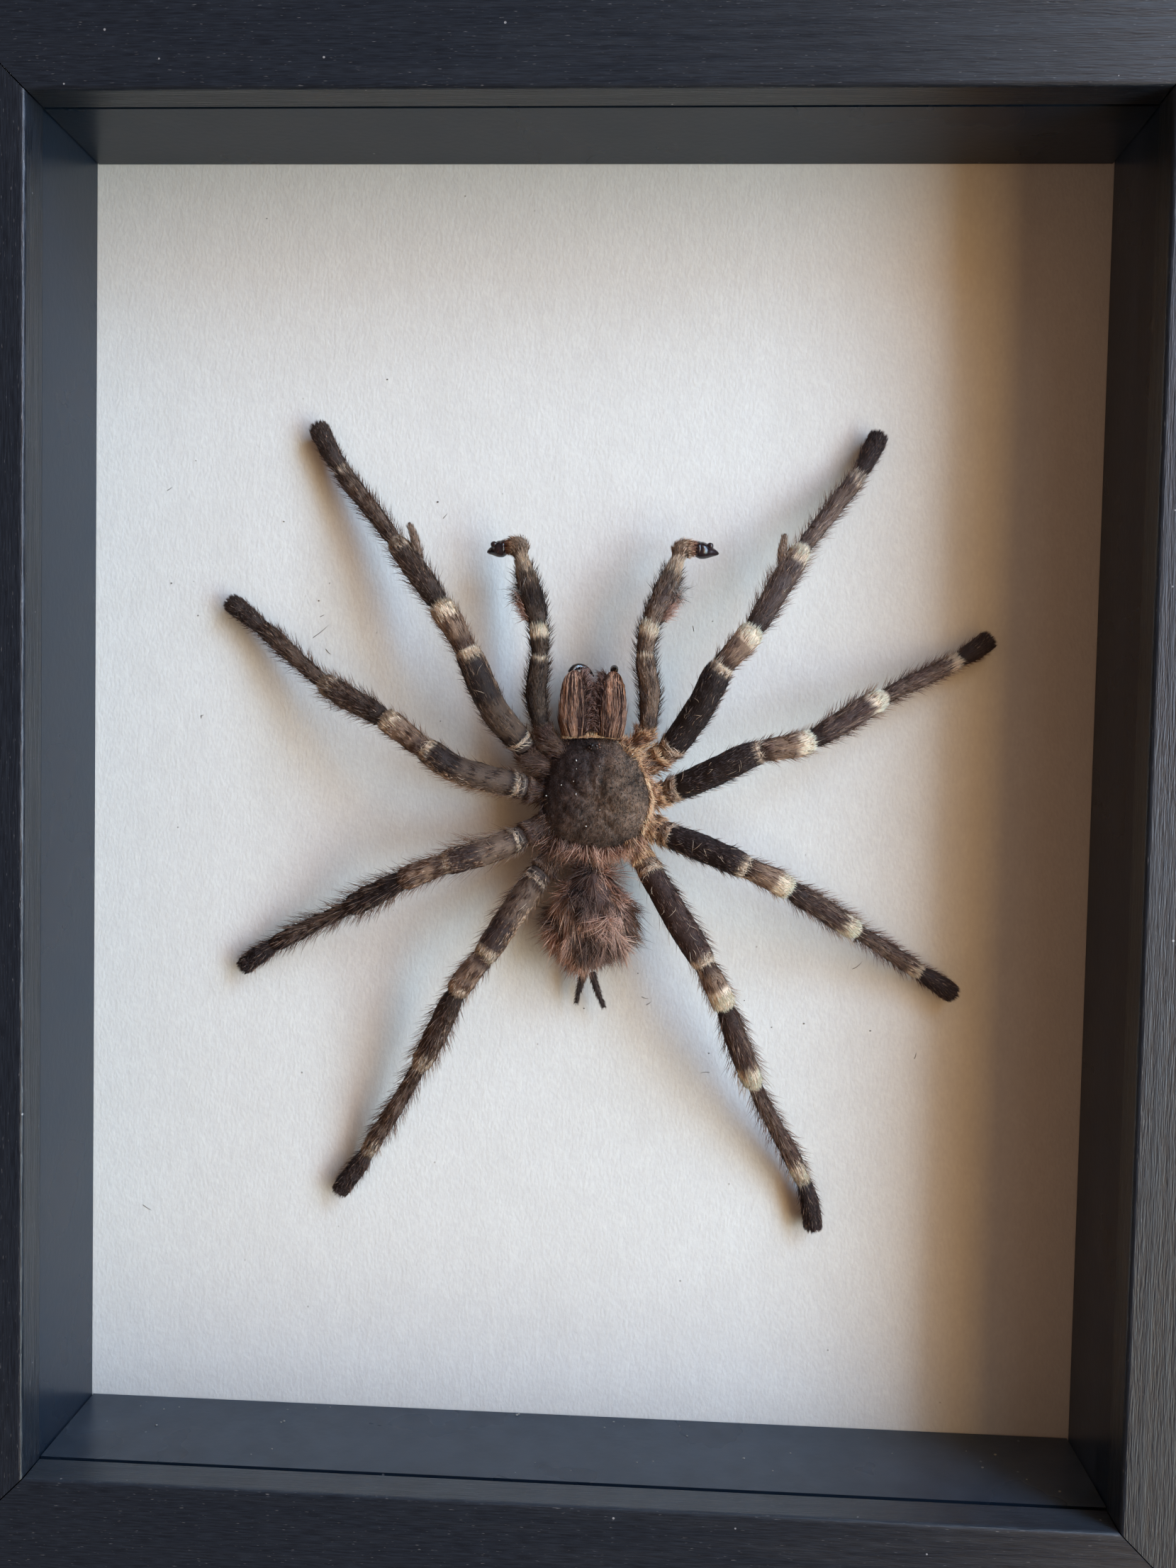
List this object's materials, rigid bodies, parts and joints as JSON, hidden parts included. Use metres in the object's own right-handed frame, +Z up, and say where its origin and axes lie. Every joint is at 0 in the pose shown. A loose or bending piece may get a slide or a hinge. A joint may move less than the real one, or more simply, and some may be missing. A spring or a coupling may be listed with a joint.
{
  "type": "framed tarantula specimen",
  "caption": "Dried hairy tarantula spread on a pale card behind glass, in a deep black shadow-box frame that stands or hangs.",
  "frame": {"origin": "centre of the frame's bounding box in X and Y, at the underside of the bottom rail", "axes": "+Z up along the long side of the frame, -Y out of the glass towards the viewer, +X to the viewer's right"},
  "size_m": [0.2346, 0.045, 0.2858],
  "materials": {
    "frame": "satin black foil on wood fibre board, with a fine pressed grain along each rail",
    "spacer": "matt black",
    "glass": "clear float glass",
    "card": "off-white, fine vertical fibres",
    "panel": "bare hardboard",
    "zinc": "zinc-plated steel",
    "hairy": "dark brown chitin under brown and cream hair",
    "abdomen": "long reddish-brown hair",
    "chelicera": "orange-brown hair",
    "fang": "glossy black chitin"
  },
  "bodies": {
    "root": {"rail_top": "frame", "rail_bottom": "frame", "rail_left": "frame", "rail_right": "frame", "glass_pane": "glass", "spacer_top": "spacer", "spacer_bottom": "spacer", "spacer_left": "spacer", "spacer_right": "spacer", "backing_card": "card", "back_panel": "panel", "retaining_tab_1": "zinc", "retaining_tab_2": "zinc", "retaining_tab_3": "zinc", "retaining_tab_4": "zinc", "retaining_tab_5": "zinc", "retaining_tab_6": "zinc", "retaining_tab_7": "zinc", "retaining_tab_8": "zinc", "hanger": "zinc", "hanger_nail_left": "zinc", "hanger_nail_right": "zinc", "cephalothorax": "hairy", "abdomen": "abdomen", "chelicera_left": "chelicera", "chelicera_right": "chelicera", "fang_left": "fang", "fang_right": "fang", "palp_left": "hairy", "palp_right": "hairy", "leg_1_left": "hairy", "leg_2_left": "hairy", "leg_3_left": "hairy", "leg_4_left": "hairy", "leg_1_right": "hairy", "leg_2_right": "hairy", "leg_3_right": "hairy", "leg_4_right": "hairy", "spinneret_left": "hairy", "spinneret_right": "hairy"}
  },
  "joints": []
}
